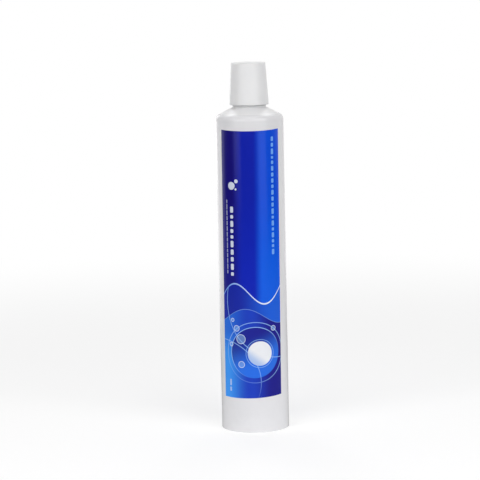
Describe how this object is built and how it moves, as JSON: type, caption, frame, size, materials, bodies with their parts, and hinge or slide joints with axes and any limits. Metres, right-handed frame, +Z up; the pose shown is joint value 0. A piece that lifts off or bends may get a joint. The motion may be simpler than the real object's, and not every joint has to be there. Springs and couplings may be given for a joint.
{
  "type": "toothpaste tube",
  "caption": "Empty round laminate tube standing on its open tail, with a conical shoulder, a threaded neck sealed with foil, and a tapered screw cap.",
  "frame": {"origin": "centre of the tail's rim, on the surface that the tube stands on", "axes": "+Z up along the tube's axis towards the cap, -Y towards the printed front, +X towards the front's right as seen"},
  "size_m": [0.028, 0.028, 0.1518],
  "materials": {
    "printed_laminate": "glossy printed laminate, white with a blue print",
    "moulded_white": "moulded white polyethylene",
    "sealing_foil": "dull rolled foil with a light emboss",
    "cap_white": "moulded white polypropylene, glossy"
  },
  "bodies": {
    "tube": {"sleeve": "printed_laminate", "shoulder": "moulded_white", "foil_seal": "sealing_foil"},
    "cap": {"cap": "cap_white"}
  },
  "joints": [
    {"name": "cap_lift", "type": "slide", "parent": "tube", "child": "cap", "axis": [0, 0, 1], "range_m": [0, 0.02]}
  ]
}
